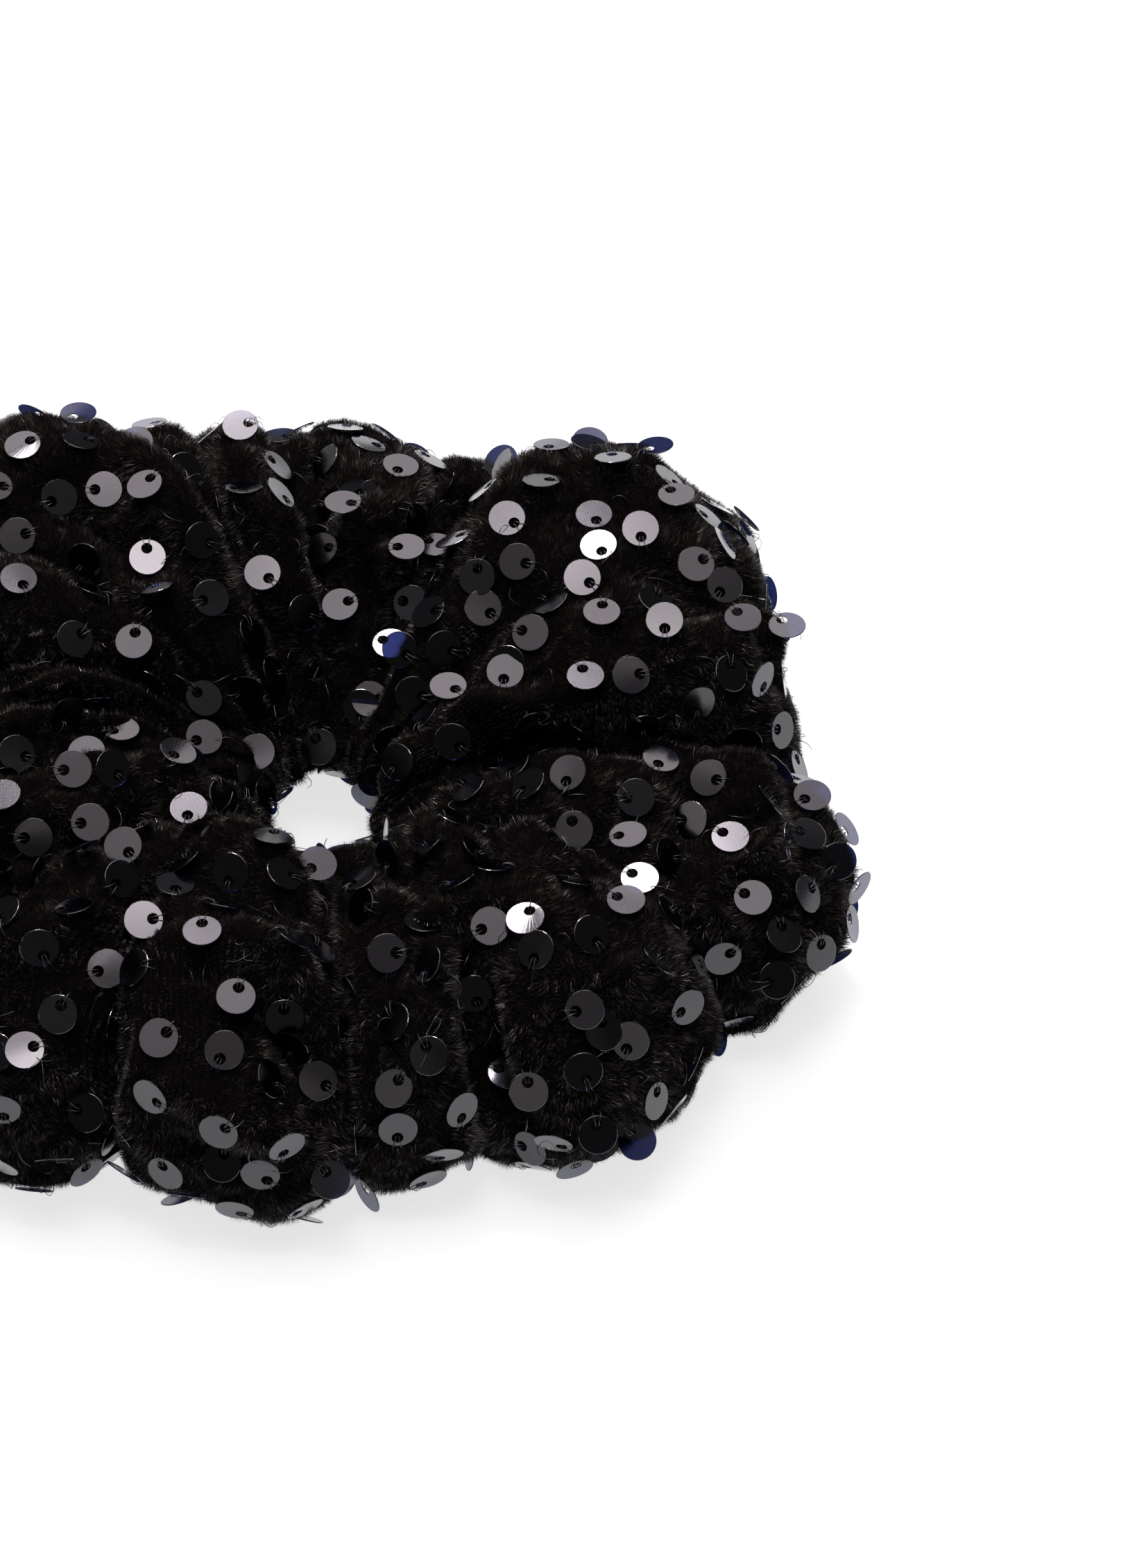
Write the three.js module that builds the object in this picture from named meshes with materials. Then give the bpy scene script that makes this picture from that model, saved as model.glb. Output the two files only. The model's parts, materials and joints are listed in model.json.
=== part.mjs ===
// A gathered velvet scrunchie with sewn-on sequins, in millimetres and degrees, +Z up.
//
// The casing is a tube of velvet around an elastic loop. The elastic gathers it, so the tube stands
// in puffs that meet in creases running out from the hair opening. It is modelled as two half casings
// that part along X when the scrunchie is stretched. Angles round the ring are seen from above,
// anticlockwise from +X. Angles round the tube start at the outermost line, pass the top at 90,
// reach the rim of the hair opening at 180 and return underneath.
import * as THREE from 'three';

// ---- driving dimensions --------------------------------------------------------------------------
const OPENING_RADIUS = 9.5;
const RIM_HEIGHT = 15;
const BELLY_DEPTH = 17;
const CASING_WALL = 1.6;
const RIM_WALL = 4;
const HALF_GAP = 0.4;

const ELASTIC_RADIUS = 18;
const ELASTIC_WIDTH = 5;
const ELASTIC_THICKNESS = 1;
const ELASTIC_OVERLAP_DEGREES = 34;
const CONTACT_GAP = 0.3;

const SEAM_INNER_RADIUS = 36;
const SEAM_OUTER_RADIUS = 41;
const SEAM_THICKNESS = 1.2;
const SEAM_HEIGHT = 2.9;
const SEAM_END_DEGREES = 4;
const CLOSING_SEAM_DEPTH = 2.2;

const STITCH_THICKNESS = 0.5;
const STITCH_HEIGHT = 4;
const STITCH_WIDTH = 0.8;
const STITCH_SPREAD_DEGREES = 11;

const SEQUIN_DIAMETER = 5;
const SEQUIN_THICKNESS = 0.3;
const SEQUIN_HOLE_DIAMETER = 1.5;
const SEQUIN_HOLE_OFFSET = 1.2;
const SEQUIN_CLEARANCE = 0.75;

const RING_STEPS_PER_HALF = 38;
const TUBE_STEPS = 16;
const ELASTIC_STEPS = 48;
const SECTOR_STEPS = 9;
const SEQUIN_RIM_STEPS = 16;
const SEQUIN_HOLE_STEPS = 9;

// Each puff: the ring angle of the crease where it starts, the reach and crown height in that crease,
// then the reach and crown height at its own middle. A puff ends where the next one starts.
const PUFFS = [
  [-37, 57, 26, 70, 29],
  [-3, 57, 28, 67, 40],
  [24, 67, 40, 73, 42.5],
  [58, 66, 33, 69, 35],
  [71, 60, 29, 66.5, 39],
  [106, 61, 31, 71, 41],
  [132, 62, 32, 75, 43],
  [152, 60, 28, 66, 31],
  [163, 60, 29, 68, 33],
  [175, 60, 29, 70, 34],
  [191, 58, 28, 71, 35],
  [216, 58, 27, 70.5, 33],
  [236, 57, 27, 66, 36],
  [271, 57, 25, 62.5, 31],
  [289, 56, 25, 69.5, 33],
];

// Each sequin: ring angle and tube angle of its place on the velvet, the compass angle and the
// elevation that it faces, and where its hole is, as an angle on its face from the right-hand side.
// Those with a fifth number lie loose enough on their thread loop to be flipped up with a fingertip.
const LOOSE_SEQUINS = [
  [8, 75, 268, 62, 270],
  [20, 59, 285, 62, 20],
  [25, 91, 270, 57, 320],
  [331, 40, 270, 70, 150],
  [199, 100, 275, 55, 180],
  [211, 96, 275, 55, 180],
  [187, 105, 262, 75, 320],
  [230, 30, 240, 48, 250],
];
const LAID_SEQUINS = [
  [297, 77, 270, 58, 200],
  [223, 98, 255, 58, 320],
  [102, 108, 262, 60, 320],
  [126, 78, 270, 55, 180],
  [14, 89, 262, 88, 90],
  [18, 106, 245, 55, 180],
  [9, 53, 275, 85, 120],
  [11, 37, 280, 90, 110],
  [2, 95, 265, 85, 110],
  [24, 130, 262, 88, 330],
  [37, 103, 250, 50, 0],
  [46, 84, 262, 112, 20],
  [42, 66, 272, 115, 90],
  [42, 50, 290, 105, 200],
  [32, 60, 275, 95, 120],
  [28, 74, 270, 60, 270],
  [349, 34, 280, 80, 200],
  [337, 57, 262, 82, 150],
  [328, 8, 290, 40, 180],
  [328, 90, 270, 52, 100],
  [338, 83, 270, 48, 180],
  [320, 62, 262, 82, 150],
  [301, 45, 280, 52, 180],
  [307, 62, 310, 48, 270],
  [298, 6, 275, 35, 90],
  [293, 24, 275, 55, 90],
  [279, 72, 270, 50, 0],
  [257, 57, 282, 72, 60],
  [241, 112, 255, 58, 320],
  [241, 72, 275, 60, 0],
  [242, 13, 240, 42, 180],
  [211, 125, 262, 78, 270],
  [151, 138, 300, 62, 180],
  [101, 84, 268, 112, 200],
  [84, 95, 272, 95, 340],
  [99, 58, 265, 75, 20],
  [67, 101, 270, 88, 180],
  [128, 98, 272, 60, 90],
];

const VELVET = { color: 0x0c0b0d, roughness: 0.95, metalness: 0 };
const VELVET_BACK = { color: 0x17161a, roughness: 0.85, metalness: 0 };
const ELASTIC = { color: 0x1b1b1d, roughness: 0.7, metalness: 0 };
const THREAD = { color: 0x141416, roughness: 0.6, metalness: 0 };
const SEQUIN_FILM = { color: 0x0d1226, roughness: 0.12, metalness: 0 };

// ---- the casing's surface ------------------------------------------------------------------------
const TOP_INNER_POWER = 0.8;
const TOP_OUTER_POWER = 0.5;
const BELLY_INNER_POWER = 0.7;
const BELLY_OUTER_POWER = 0.45;
const PUFF_POWER = 2.2;

// A curve that is 0 at share 0 and 1, and 1 at its highest.
function arch(share, innerPower, outerPower) {
  const peak = innerPower / (innerPower + outerPower);
  const highest = peak ** innerPower * (1 - peak) ** outerPower;
  return (share ** innerPower * (1 - share) ** outerPower) / highest;
}

// The casing's reach and crown height at a ring angle: full in a puff's middle, drawn in at a crease.
function puffAt(ringAngle) {
  const first = PUFFS[0][0];
  const angle = THREE.MathUtils.euclideanModulo(ringAngle - first, 360) + first;
  const index = PUFFS.findLastIndex((puff) => puff[0] <= angle);
  const puff = PUFFS[index];
  const next = PUFFS[(index + 1) % PUFFS.length];
  const end = index + 1 < PUFFS.length ? next[0] : first + 360;
  const along = (angle - puff[0]) / (end - puff[0]);
  const swell = Math.sqrt(Math.max(0, 1 - Math.abs(2 * along - 1) ** PUFF_POWER));
  const creaseReach = THREE.MathUtils.lerp(puff[1], next[1], along);
  const creaseCrown = THREE.MathUtils.lerp(puff[2], next[2], along);
  return {
    reach: THREE.MathUtils.lerp(creaseReach, puff[3], swell),
    crown: THREE.MathUtils.lerp(creaseCrown, puff[4], swell),
  };
}

// A point on the casing, or on the lining face inside it when inset is 1.
function casingPoint(ringAngle, tubeAngle, inset = 0) {
  const { reach, crown } = puffAt(ringAngle);
  const ring = THREE.MathUtils.degToRad(ringAngle);
  const tube = THREE.MathUtils.degToRad(tubeAngle);
  const share = (1 + Math.cos(tube)) / 2;
  const rim = OPENING_RADIUS + inset * RIM_WALL;
  const wall = inset * CASING_WALL;
  const radius = rim + (reach - wall - rim) * share;
  const top = (crown - wall - RIM_HEIGHT) * arch(share, TOP_INNER_POWER, TOP_OUTER_POWER);
  const belly = (BELLY_DEPTH - wall) * arch(share, BELLY_INNER_POWER, BELLY_OUTER_POWER);
  const height = Math.sin(tube) >= 0 ? RIM_HEIGHT + top : Math.max(wall, RIM_HEIGHT - belly);
  return new THREE.Vector3(radius * Math.cos(ring), radius * Math.sin(ring), height);
}

function casingNormal(ringAngle, tubeAngle) {
  const step = 1.5;
  const along = casingPoint(ringAngle + step, tubeAngle).sub(casingPoint(ringAngle - step, tubeAngle));
  const around = casingPoint(ringAngle, tubeAngle + step).sub(casingPoint(ringAngle, tubeAngle - step));
  return along.cross(around).normalize();
}

// ---- solids --------------------------------------------------------------------------------------
// A closed solid from a grid of points that joins up with itself in both directions.
function closedGrid(rows) {
  const width = rows[0].length;
  const positions = rows.flat().flatMap((point) => point.toArray());
  const corner = (row, column) => (row % rows.length) * width + (column % width);
  const triangles = [];
  for (let row = 0; row < rows.length; row += 1) {
    for (let column = 0; column < width; column += 1) {
      const a = corner(row, column);
      const b = corner(row, column + 1);
      const c = corner(row + 1, column + 1);
      const d = corner(row + 1, column);
      triangles.push(a, b, c, a, c, d);
    }
  }
  const geometry = new THREE.BufferGeometry();
  geometry.setAttribute('position', new THREE.Float32BufferAttribute(positions, 3));
  geometry.setIndex(triangles);
  geometry.computeVertexNormals();
  return geometry;
}

// Half of the casing: a sleeve open at both ends, from one side of the X = 0 plane to the other.
function casingHalf(startAngle) {
  const rows = [];
  for (let step = 0; step < TUBE_STEPS; step += 1) {
    const tubeAngle = (360 * step) / TUBE_STEPS;
    const outside = [];
    const inside = [];
    for (let station = 0; station <= RING_STEPS_PER_HALF; station += 1) {
      const ringAngle = startAngle + (180 * station) / RING_STEPS_PER_HALF;
      outside.push(casingPoint(ringAngle, tubeAngle));
      inside.unshift(casingPoint(ringAngle, tubeAngle, 1));
    }
    rows.push([...outside, ...inside]);
  }
  return closedGrid(rows);
}

// A flat strip standing on its edge and bent round the ring, as a full circle.
function elasticLoop() {
  const inner = ELASTIC_RADIUS - ELASTIC_THICKNESS / 2;
  const outer = ELASTIC_RADIUS + ELASTIC_THICKNESS / 2;
  const profile = [
    new THREE.Vector2(inner, -ELASTIC_WIDTH / 2),
    new THREE.Vector2(outer, -ELASTIC_WIDTH / 2),
    new THREE.Vector2(outer, ELASTIC_WIDTH / 2),
    new THREE.Vector2(inner, ELASTIC_WIDTH / 2),
    new THREE.Vector2(inner, -ELASTIC_WIDTH / 2),
  ];
  const geometry = new THREE.LatheGeometry(profile, ELASTIC_STEPS);
  geometry.rotateX(Math.PI / 2);
  return geometry;
}

// A sector of a flat ring, extruded upwards from z = 0.
function ringSector(innerRadius, outerRadius, startAngle, endAngle, height) {
  const start = THREE.MathUtils.degToRad(startAngle);
  const end = THREE.MathUtils.degToRad(endAngle);
  const shape = new THREE.Shape();
  shape.absarc(0, 0, outerRadius, start, end, false);
  shape.absarc(0, 0, innerRadius, end, start, true);
  return new THREE.ExtrudeGeometry(shape, {
    depth: height,
    bevelEnabled: false,
    curveSegments: SECTOR_STEPS,
  });
}

// The folded-over end of the velvet tube, a strip along the inside of the casing's top.
function closingSeamStrip(ringAngle) {
  const strip = { from: 40, to: 118, rows: 9, width: 4, thickness: 1 };
  const { reach, crown } = puffAt(ringAngle);
  const arc = (extra) => {
    const points = [];
    for (let row = 0; row <= strip.rows; row += 1) {
      const tube = THREE.MathUtils.degToRad(THREE.MathUtils.lerp(strip.from, strip.to, row / strip.rows));
      const share = (1 + Math.cos(tube)) / 2;
      const room = CASING_WALL + CLOSING_SEAM_DEPTH + extra;
      const rise = (crown - RIM_HEIGHT - room) * arch(share, TOP_INNER_POWER, TOP_OUTER_POWER);
      const rim = OPENING_RADIUS + RIM_WALL + CLOSING_SEAM_DEPTH + extra;
      points.push(new THREE.Vector2(rim + (reach - room - rim) * share, RIM_HEIGHT + rise));
    }
    return points;
  };
  const shape = new THREE.Shape([...arc(0), ...arc(strip.thickness).reverse()]);
  const geometry = new THREE.ExtrudeGeometry(shape, { depth: strip.width, bevelEnabled: false });
  geometry.translate(0, 0, -strip.width / 2);
  geometry.rotateX(Math.PI / 2);
  geometry.rotateZ(THREE.MathUtils.degToRad(ringAngle));
  return geometry;
}

function circle(radius, centreX, steps) {
  return Array.from({ length: steps }, (_, step) => {
    const angle = (2 * Math.PI * step) / steps;
    return new THREE.Vector2(centreX + radius * Math.cos(angle), radius * Math.sin(angle));
  });
}

// A round sequin lying on z = 0 with its hole towards +X.
function sequinDisc() {
  const shape = new THREE.Shape(circle(SEQUIN_DIAMETER / 2, 0, SEQUIN_RIM_STEPS));
  shape.holes.push(new THREE.Path(circle(SEQUIN_HOLE_DIAMETER / 2, SEQUIN_HOLE_OFFSET, SEQUIN_HOLE_STEPS)));
  return new THREE.ExtrudeGeometry(shape, { depth: SEQUIN_THICKNESS, bevelEnabled: false });
}

// ---- the parts -----------------------------------------------------------------------------------
function part(name, geometry, finish) {
  const mesh = new THREE.Mesh(geometry, new THREE.MeshStandardMaterial(finish));
  mesh.name = name;
  return mesh;
}

function casings() {
  const right = part('casing_right', casingHalf(-90), VELVET);
  const left = part('casing_left', casingHalf(90), VELVET);
  right.position.x = HALF_GAP / 2;
  left.position.x = -HALF_GAP / 2;
  return [left, right];
}

function elasticParts() {
  const loop = part('elastic_band', elasticLoop(), ELASTIC);
  loop.position.z = RIM_HEIGHT;
  const tailInner = ELASTIC_RADIUS + ELASTIC_THICKNESS / 2 + CONTACT_GAP;
  const tailOuter = tailInner + ELASTIC_THICKNESS;
  const half = ELASTIC_OVERLAP_DEGREES / 2;
  const tail = part(
    'elastic_overlap_tail',
    ringSector(tailInner, tailOuter, 180 - half, 180 + half, ELASTIC_WIDTH),
    ELASTIC,
  );
  tail.position.z = RIM_HEIGHT - ELASTIC_WIDTH / 2;
  const stitches = [-1, 1].map((side) => {
    const middle = 180 + side * STITCH_SPREAD_DEGREES;
    const spread = THREE.MathUtils.radToDeg(STITCH_WIDTH / 2 / tailOuter);
    const inner = tailOuter + CONTACT_GAP;
    const bar = part(
      side < 0 ? 'elastic_stitch_back' : 'elastic_stitch_front',
      ringSector(inner, inner + STITCH_THICKNESS, middle - spread, middle + spread, STITCH_HEIGHT),
      THREAD,
    );
    bar.position.z = RIM_HEIGHT - STITCH_HEIGHT / 2;
    return bar;
  });
  return [loop, tail, ...stitches];
}

function seamParts() {
  const strips = [
    ['long_seam_right', -90],
    ['long_seam_left', 90],
  ].map(([name, start]) => {
    const from = start + SEAM_END_DEGREES;
    const to = start + 180 - SEAM_END_DEGREES;
    const geometry = ringSector(SEAM_INNER_RADIUS, SEAM_OUTER_RADIUS, from, to, SEAM_THICKNESS);
    const strip = part(name, geometry, VELVET_BACK);
    strip.position.z = SEAM_HEIGHT;
    return strip;
  });
  return [...strips, part('closing_seam', closingSeamStrip(201), VELVET_BACK)];
}

// Places a sequin so that its whole disc stays clear of the velvet under it.
function placedSequin(name, [ringAngle, tubeAngle, compass, elevation, holeAngle]) {
  const a = THREE.MathUtils.degToRad(compass);
  const e = THREE.MathUtils.degToRad(elevation);
  const face = new THREE.Vector3(Math.cos(e) * Math.cos(a), Math.cos(e) * Math.sin(a), Math.sin(e));
  const up = new THREE.Vector3(-Math.sin(e) * Math.cos(a), -Math.sin(e) * Math.sin(a), Math.cos(e));
  const across = up.clone().cross(face);
  const normal = casingNormal(ringAngle, tubeAngle);
  const lean = Math.sin(face.angleTo(normal));
  const place = casingPoint(ringAngle, tubeAngle);
  place.addScaledVector(normal, SEQUIN_CLEARANCE + (lean * SEQUIN_DIAMETER) / 2);
  place.x += Math.sign(place.x) * (HALF_GAP / 2);
  const sequin = part(name, sequinDisc(), SEQUIN_FILM);
  const turned = new THREE.Matrix4().makeBasis(across, up, face);
  sequin.quaternion.setFromRotationMatrix(turned);
  sequin.rotateZ(THREE.MathUtils.degToRad(holeAngle));
  sequin.position.copy(place);
  return sequin;
}

function sequins() {
  return [...LOOSE_SEQUINS, ...LAID_SEQUINS].map((row, index) => {
    const number = String(index + 1).padStart(2, '0');
    return placedSequin(`sequin_${number}`, row);
  });
}

// The origin is moved to the middle of the bottom of the whole scrunchie's box.
const ring = new THREE.Group();
ring.add(...casings(), ...elasticParts(), ...seamParts(), ...sequins());
const box = new THREE.Box3().setFromObject(ring, true);
ring.position.x = -(box.min.x + box.max.x) / 2;
ring.position.y = -(box.min.y + box.max.y) / 2;
ring.position.z = -box.min.z;

const scrunchie = new THREE.Group();
scrunchie.add(ring);

export default scrunchie;
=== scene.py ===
"""A gathered velvet scrunchie with loose round sequins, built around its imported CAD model.

The casing is worked out in millimetres round the ring's middle, and every mesh is written in the
frame's metres. A place on the casing has a ring angle, anticlockwise from +X seen from above, and a
tube angle, 0 at the outermost line, 90 over the top and 180 at the rim of the hair opening.
"""
import json
import math

import bpy
import numpy as np
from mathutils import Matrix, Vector
from mathutils.bvhtree import BVHTree

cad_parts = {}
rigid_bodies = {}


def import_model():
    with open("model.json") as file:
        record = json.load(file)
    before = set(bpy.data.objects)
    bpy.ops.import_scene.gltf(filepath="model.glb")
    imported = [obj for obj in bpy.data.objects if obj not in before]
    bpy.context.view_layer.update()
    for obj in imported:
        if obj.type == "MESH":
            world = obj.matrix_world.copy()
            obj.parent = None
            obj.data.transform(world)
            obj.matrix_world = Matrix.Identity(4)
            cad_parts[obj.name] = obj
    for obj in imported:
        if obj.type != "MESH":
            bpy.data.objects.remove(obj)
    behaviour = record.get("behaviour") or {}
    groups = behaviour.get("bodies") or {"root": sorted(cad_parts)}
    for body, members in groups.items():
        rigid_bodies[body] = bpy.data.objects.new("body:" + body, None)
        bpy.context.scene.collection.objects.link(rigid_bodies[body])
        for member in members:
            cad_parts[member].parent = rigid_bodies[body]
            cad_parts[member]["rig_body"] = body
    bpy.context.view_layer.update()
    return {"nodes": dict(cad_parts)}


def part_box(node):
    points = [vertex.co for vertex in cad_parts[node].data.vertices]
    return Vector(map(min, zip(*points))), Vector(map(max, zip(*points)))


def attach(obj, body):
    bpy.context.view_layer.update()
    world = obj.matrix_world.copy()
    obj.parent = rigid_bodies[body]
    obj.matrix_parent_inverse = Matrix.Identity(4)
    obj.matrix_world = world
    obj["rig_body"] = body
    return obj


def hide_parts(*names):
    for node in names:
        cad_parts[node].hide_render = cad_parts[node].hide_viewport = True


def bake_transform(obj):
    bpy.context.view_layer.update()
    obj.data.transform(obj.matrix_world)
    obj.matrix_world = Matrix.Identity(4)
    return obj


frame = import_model()

# ---- places taken from the frame ----
MM = 0.001
band_low, band_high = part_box("elastic_band")
MIDDLE = np.array([(band_low.x + band_high.x) / 2, (band_low.y + band_high.y) / 2, 0.0])
RIM_HEIGHT = (band_low.z + band_high.z) / 2 / MM

# ---- the casing's measures, in millimetres and degrees ----
OPENING_RADIUS = 9.2
OPENING_OVAL = 1.9
OPENING_UNEVEN = 0.5
BELLY_DEPTH = 16.6
FLOOR_CLEARANCE = 0.5
CLOTH_THICKNESS = 0.8
TOP_POWERS = (0.8, 0.5)
BELLY_POWERS = (0.7, 0.45)
PUFF_POWER = 2.2
RING_COUNT = 480
TUBE_COUNT = 160
LEAN_PIVOT = 0.7

# Each puff: the ring angle of the crease where it starts, the reach and crown height in that crease,
# then the reach and crown height at its own middle. A puff ends where the next one starts.
PUFFS = np.array([
    [-37, 56, 26, 69, 29],
    [-3, 52, 27, 63, 37],
    [24, 63, 37, 71, 38.5],
    [60, 62, 30, 62.5, 28.5],
    [71, 58, 27, 64, 31.5],
    [90, 63, 30.5, 66.5, 35],
    [106, 61, 30, 68, 35.5],
    [118, 66, 35, 75, 43],
    [143, 66, 34, 70, 38],
    [167, 61, 29, 65, 33],
    [175, 61, 30, 66.5, 34],
    [185, 60, 30, 68.5, 35],
    [195, 58, 29, 71, 35.5],
    [216, 58, 27, 70.5, 33],
    [236, 57, 27, 64, 35.5],
    [271, 56, 25, 61.5, 30],
    [289, 56, 25, 65.5, 33],
])
# Where the creases lean round the ring between the outside and the opening: middle, spread, degrees.
LEANS = [
    [236, 24, 19],
    [178, 26, 46],
    [68, 9, 8],
]

# A fold whose ends differ by more than this tube angle runs round the tube, not along the ring.
ROUND_TUBE = 12

# Folds over the puffs: height in millimetres (a crease is negative), the width on the side of the
# lower and of the higher ring angle (or tube angle, for a fold that runs round the ring), and the
# line it follows as ring angle, tube angle.
FOLDS = [
    (4.0, 4.0, 3.2, [(220, 86), (226, 104), (236, 116), (248, 113), (259, 103), (267, 90)]),
    (-4.0, 2.6, 3.4, [(239, 94), (250, 93), (262, 86)]),
    (3.4, 2.4, 2.6, [(239, 66), (249, 74), (258, 73), (268, 62)]),
    (-8.0, 5.0, 4.0, [(256, 60), (263, 52), (267, 40), (266, 26)]),
    (2.6, 2.0, 2.4, [(243, 62), (246, 30), (245, 4)]),
    (3.0, 2.2, 2.4, [(247, 30), (256, 25), (266, 12)]),
    (-2.6, 2.2, 2.4, [(247, 14), (256, 9), (264, 0)]),
    (3.4, 2.8, 3.0, [(213, 40), (221, 56), (229, 70), (228, 84)]),
    (-3.4, 2.8, 3.0, [(203, 60), (211, 78), (214, 98)]),
    (-2.4, 2.4, 2.6, [(216, 20), (224, 34), (231, 42)]),
    (2.0, 3.0, 3.0, [(196, 60), (198, 85), (196, 110), (190, 130)]),
    (-9.0, 6.0, 5.0, [(136, 70), (137, 86), (136, 103)]),
    (4.2, 3.2, 2.2, [(121, 52), (121, 75), (121, 95), (119, 112), (117, 130)]),
    (-4.0, 2.2, 2.6, [(112, 60), (112, 84), (110, 104), (108, 124)]),
    (-5.0, 2.4, 3.2, [(96, 45), (93, 70), (90, 92), (87, 114)]),
    (3.6, 2.8, 2.0, [(101, 55), (100, 80), (98, 100), (95, 116), (91, 134)]),
    (3.0, 2.0, 3.0, [(75, 50), (73, 72), (72, 92), (73, 110)]),
    (-7.0, 3.8, 3.0, [(65, 50), (64, 75), (63, 95), (61, 112)]),
    (3.6, 3.4, 2.6, [(54, 66), (52, 82), (49, 98), (43, 114), (34, 128), (24, 142)]),
    (-2.6, 2.4, 2.2, [(44, 108), (34, 119), (22, 131)]),
    (-2.2, 2.2, 2.8, [(18, 120), (8, 112), (2, 100)]),
    (3.0, 2.6, 2.6, [(28, 152), (12, 146), (358, 146), (348, 150)]),
    (2.0, 1.8, 2.2, [(12, 132), (5, 120), (0, 104), (0, 84)]),
    (-3.4, 2.2, 2.6, [(351, 66), (352, 84), (354, 104), (0, 128)]),
    (4.6, 2.8, 3.2, [(353, 52), (345, 53), (337, 50), (329, 43), (325, 30)]),
    (-5.0, 3.2, 3.0, [(347, 70), (338, 69), (329, 63), (322, 50)]),
    (3.0, 2.2, 2.4, [(337, 124), (333, 108), (327, 95), (319, 88)]),
    (-4.0, 2.4, 2.6, [(326, 122), (317, 107), (308, 98), (300, 96)]),
    (2.6, 2.0, 2.4, [(349, 110), (344, 98), (336, 90), (328, 84)]),
    (-2.8, 2.2, 2.2, [(343, 88), (335, 82), (327, 76)]),
    (-2.2, 2.0, 2.2, [(311, 80), (318, 72), (322, 60)]),
    (5.0, 2.8, 3.0, [(279, 26), (281, 50), (284, 68), (289, 80), (296, 81), (301, 74)]),
    (-10.0, 2.8, 3.4, [(291, 68), (290, 52), (289, 34), (290, 12), (291, -10)]),
    (2.8, 2.4, 2.4, [(298, 58), (306, 50), (312, 38)]),
    (-2.6, 2.0, 2.2, [(297, 36), (306, 28), (315, 16)]),
    (-4.0, 2.6, 2.6, [(272, 92), (277, 102), (284, 110)]),
    (3.0, 2.2, 2.2, [(274, 108), (281, 96), (283, 82)]),
    (-4.4, 2.2, 2.6, [(275, 46), (276, 28), (274, 8)]),
    (2.6, 2.4, 2.6, [(262, 116), (270, 126), (282, 128), (292, 122)]),
    (-3.0, 1.8, 2.0, [(170, 74), (161, 98), (154, 113), (149, 126)]),
    (2.2, 2.0, 2.0, [(173, 76), (163, 104), (155, 120), (150, 132)]),
    (-3.4, 1.8, 2.2, [(178, 80), (169, 103), (161, 120), (155, 134)]),
    (-3.0, 1.8, 2.2, [(190, 76), (183, 100), (176, 120), (170, 138)]),
]


def unit(vectors):
    return vectors / np.maximum(np.linalg.norm(vectors, axis=-1, keepdims=True), 1e-9)


def waves(points, wavelength, seed, count=14):
    """A smooth random field with a spread of about 1, made of sine waves in random directions."""
    rng = np.random.default_rng(seed)
    directions = unit(rng.normal(size=(count, 3)))
    turns = directions * (2 * np.pi / (wavelength * rng.uniform(0.7, 1.4, (count, 1))))
    return np.sin(points @ turns.T + rng.uniform(0, 2 * np.pi, count)).sum(1) * math.sqrt(2 / count)


def add_object(name, data):
    made = bpy.data.objects.new(name, data)
    bpy.context.scene.collection.objects.link(made)
    return made


def mesh_points(mesh):
    points = np.zeros(len(mesh.vertices) * 3)
    mesh.vertices.foreach_get("co", points)
    return points.reshape(-1, 3)


# ---- the casing's plain shape ----
def arch(share, powers):
    """A hump from 0 up to 1 and down to 0 as share goes from 0 to 1."""
    inner, outer = powers
    peak = inner / (inner + outer)
    return share**inner * (1 - share) ** outer / (peak**inner * (1 - peak) ** outer)


def puff_at(angle):
    """The reach and crown height at the ring angles, full in a puff's middle, drawn in at a crease."""
    starts = PUFFS[:, 0]
    angle = np.mod(angle - starts[0], 360) + starts[0]
    index = np.searchsorted(starts, angle, side="right") - 1
    after = (index + 1) % len(PUFFS)
    end = np.where(index + 1 < len(PUFFS), starts[after], starts[0] + 360)
    along = (angle - starts[index]) / (end - starts[index])
    swell = np.sqrt(np.maximum(0, 1 - np.abs(2 * along - 1) ** PUFF_POWER))
    low, high = np.moveaxis(PUFFS[index, 1:3], -1, 0), np.moveaxis(PUFFS[after, 1:3], -1, 0)
    crease = low + (high - low) * along
    return crease + (np.moveaxis(PUFFS[index, 3:5], -1, 0) - crease) * swell


def lean_at(angle):
    """How far, in degrees, the casing is twisted round the ring at each ring angle."""
    total = np.zeros_like(angle, dtype=float)
    for middle, spread, degrees in LEANS:
        off = np.mod(angle - middle + 180, 360) - 180
        total += degrees * np.exp(-((off / spread) ** 2))
    return total


def casing_points(puff_angle, tube_angle):
    """The plain gathered tube, without folds."""
    reach, crown = puff_at(puff_angle)
    tube = np.radians(tube_angle)
    share = (1 + np.cos(tube)) / 2
    ring = np.radians(puff_angle + lean_at(puff_angle) * (share - LEAN_PIVOT))
    opening = OPENING_RADIUS - OPENING_OVAL * np.cos(2 * ring) - OPENING_UNEVEN * np.cos(5 * ring + 1)
    radius = opening + (reach - opening) * share
    top = RIM_HEIGHT + (crown - RIM_HEIGHT) * arch(share, TOP_POWERS)
    belly = np.maximum(RIM_HEIGHT - BELLY_DEPTH * arch(share, BELLY_POWERS), FLOOR_CLEARANCE)
    height = np.where(np.sin(tube) >= 0, top, belly)
    return np.stack([radius * np.cos(ring), radius * np.sin(ring), height], -1)


def on_casing(ring_angle, tube_angle):
    """The point at a true ring angle, found by undoing the lean."""
    ring_angle = np.asarray(ring_angle, float)
    tube_angle = np.asarray(tube_angle, float)
    share = (1 + np.cos(np.radians(tube_angle))) / 2
    puff_angle = ring_angle.copy()
    for _ in range(8):
        puff_angle = ring_angle - lean_at(puff_angle) * (share - LEAN_PIVOT)
    return casing_points(puff_angle, tube_angle)


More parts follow.
